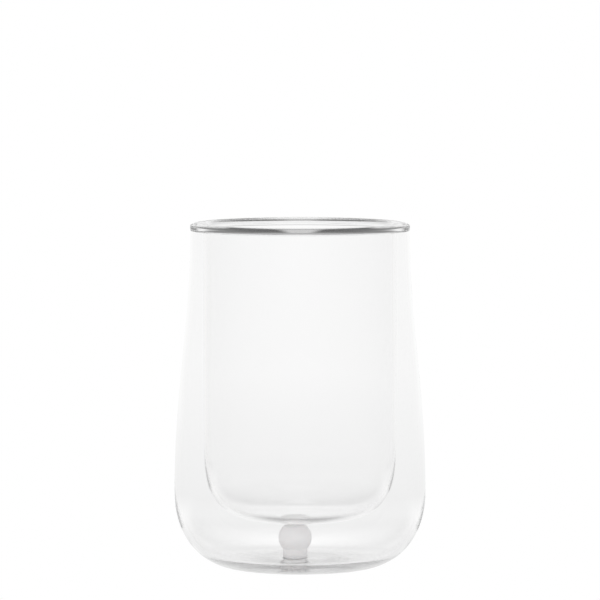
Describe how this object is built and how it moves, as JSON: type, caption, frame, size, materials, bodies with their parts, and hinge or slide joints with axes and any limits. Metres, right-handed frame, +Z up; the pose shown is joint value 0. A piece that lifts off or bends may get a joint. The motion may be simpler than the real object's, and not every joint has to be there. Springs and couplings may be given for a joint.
{
  "type": "double-walled tumbler",
  "caption": "Clear double-walled drinking glass with a full rounded belly, a fused round rim, an air gap between its walls and a soft vent plug in the base.",
  "frame": {"origin": "on the axis of the glass, at the level of the table it stands on", "axes": "+Z up along the axis of the glass, -X towards the side on which the vent plug stands off the axis, -Y towards the viewer of the picture"},
  "size_m": [0.0872, 0.0872, 0.12],
  "materials": {
    "clear_glass": "clear blown glass, polished",
    "silicone": "pale translucent silicone, satin"
  },
  "bodies": {
    "root": {"outer_wall": "clear_glass", "inner_wall": "clear_glass", "rim_bead": "clear_glass", "vent_plug": "silicone"}
  },
  "joints": []
}
